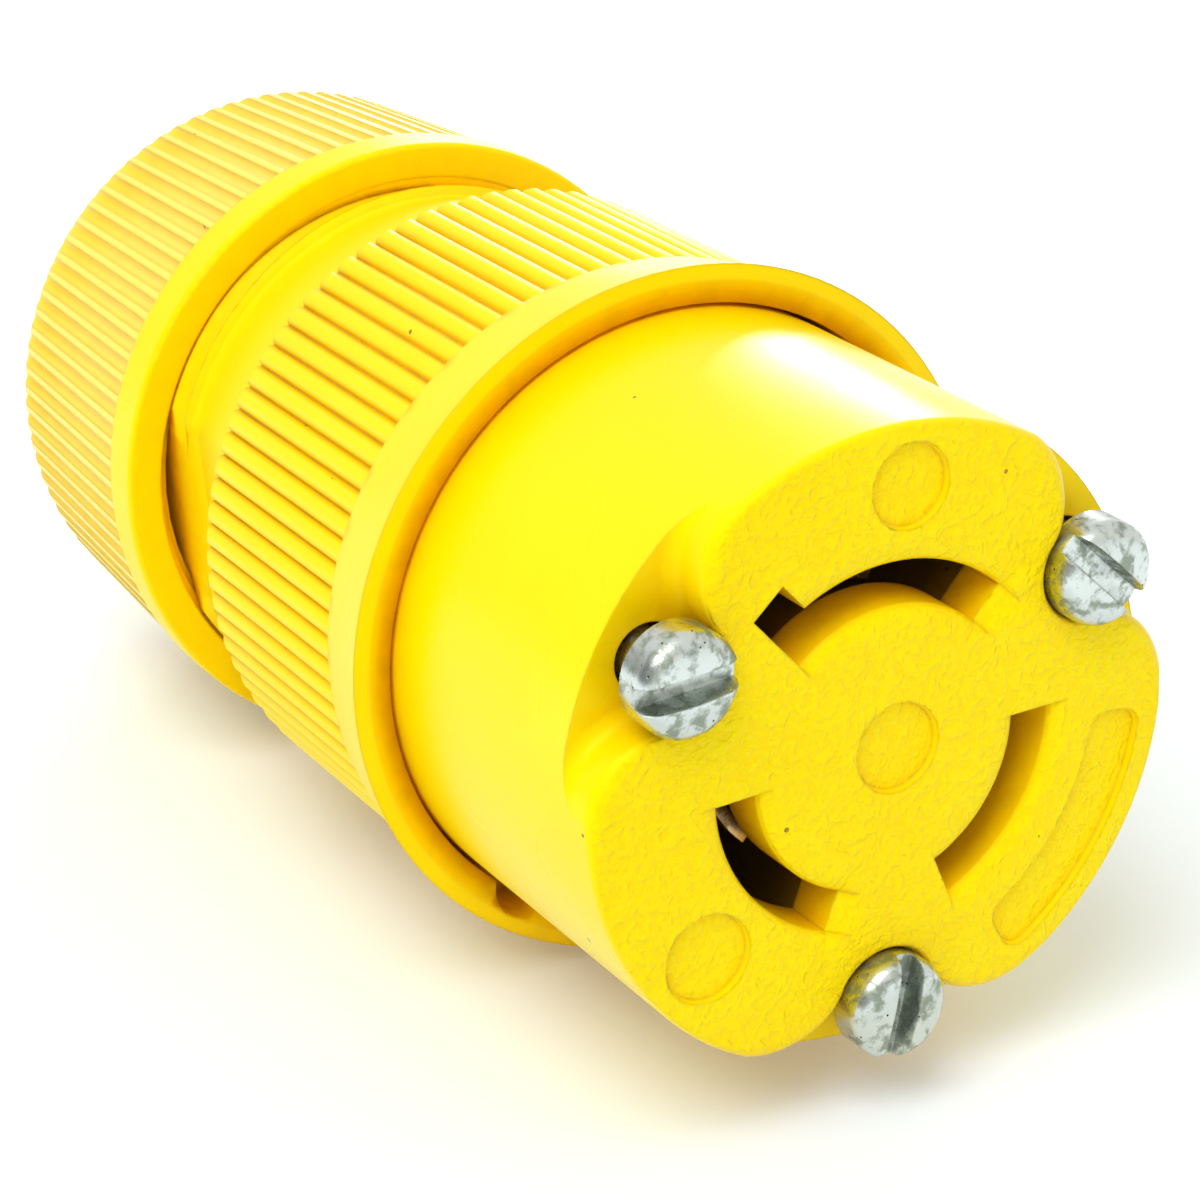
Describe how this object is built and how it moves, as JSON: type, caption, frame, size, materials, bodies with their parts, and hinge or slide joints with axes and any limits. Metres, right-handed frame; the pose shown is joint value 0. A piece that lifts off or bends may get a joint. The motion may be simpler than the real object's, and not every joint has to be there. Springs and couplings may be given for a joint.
{
  "type": "locking cord connector",
  "caption": "Round yellow cord connector with curved blade slots, a ribbed housing, slotted screws in its face and a cord nut that screws onto its neck.",
  "frame": {"origin": "centre of the rear end of the cord nut, on which the connector stands", "axes": "+Z along the axis from the cord nut towards the mating face; +X lies 30 degrees clockwise of the middle of the keyed lobe's slot, seen from the front"},
  "size_m": [0.04, 0.04, 0.0753],
  "materials": {
    "yellow_nylon": "glossy moulded nylon, mottled matte on the mating face",
    "zinc_steel": "zinc plated, pitted and scratched",
    "brass": "satin brass",
    "grey_rubber": "matte moulded rubber",
    "dark_plastic": "matte moulded thermoset"
  },
  "bodies": {
    "shell": {"housing": "yellow_nylon", "front_body": "yellow_nylon", "contact_retainer": "dark_plastic", "contact_1": "brass", "contact_2": "brass", "contact_3": "brass", "terminal_clamp_1": "zinc_steel", "terminal_clamp_2": "zinc_steel", "terminal_clamp_3": "zinc_steel", "terminal_screw_1": "zinc_steel", "terminal_screw_2": "zinc_steel", "terminal_screw_3": "zinc_steel", "screw_insert_1": "brass", "screw_insert_2": "brass", "screw_insert_3": "brass", "assembly_screw_1": "zinc_steel", "assembly_screw_2": "zinc_steel", "assembly_screw_3": "zinc_steel", "cord_bushing": "grey_rubber"},
    "washer": {"slip_washer": "zinc_steel"},
    "nut": {"cord_nut": "yellow_nylon"}
  },
  "joints": [
    {"name": "nut_travel", "type": "slide", "parent": "shell", "child": "washer", "axis": [0, 0, 1], "range_m": [-0.0075, 0.00313], "deforming": ["cord_bushing"]},
    {"name": "nut_turn", "type": "hinge", "parent": "washer", "child": "nut", "pos_m": [0, 0, 0], "axis": [0, 0, 1], "range_deg": [-1080, 450]}
  ],
  "couplings": [
    {"joint": "nut_travel", "follows": "nut_turn", "m_per_rad": 0.00039789}
  ]
}
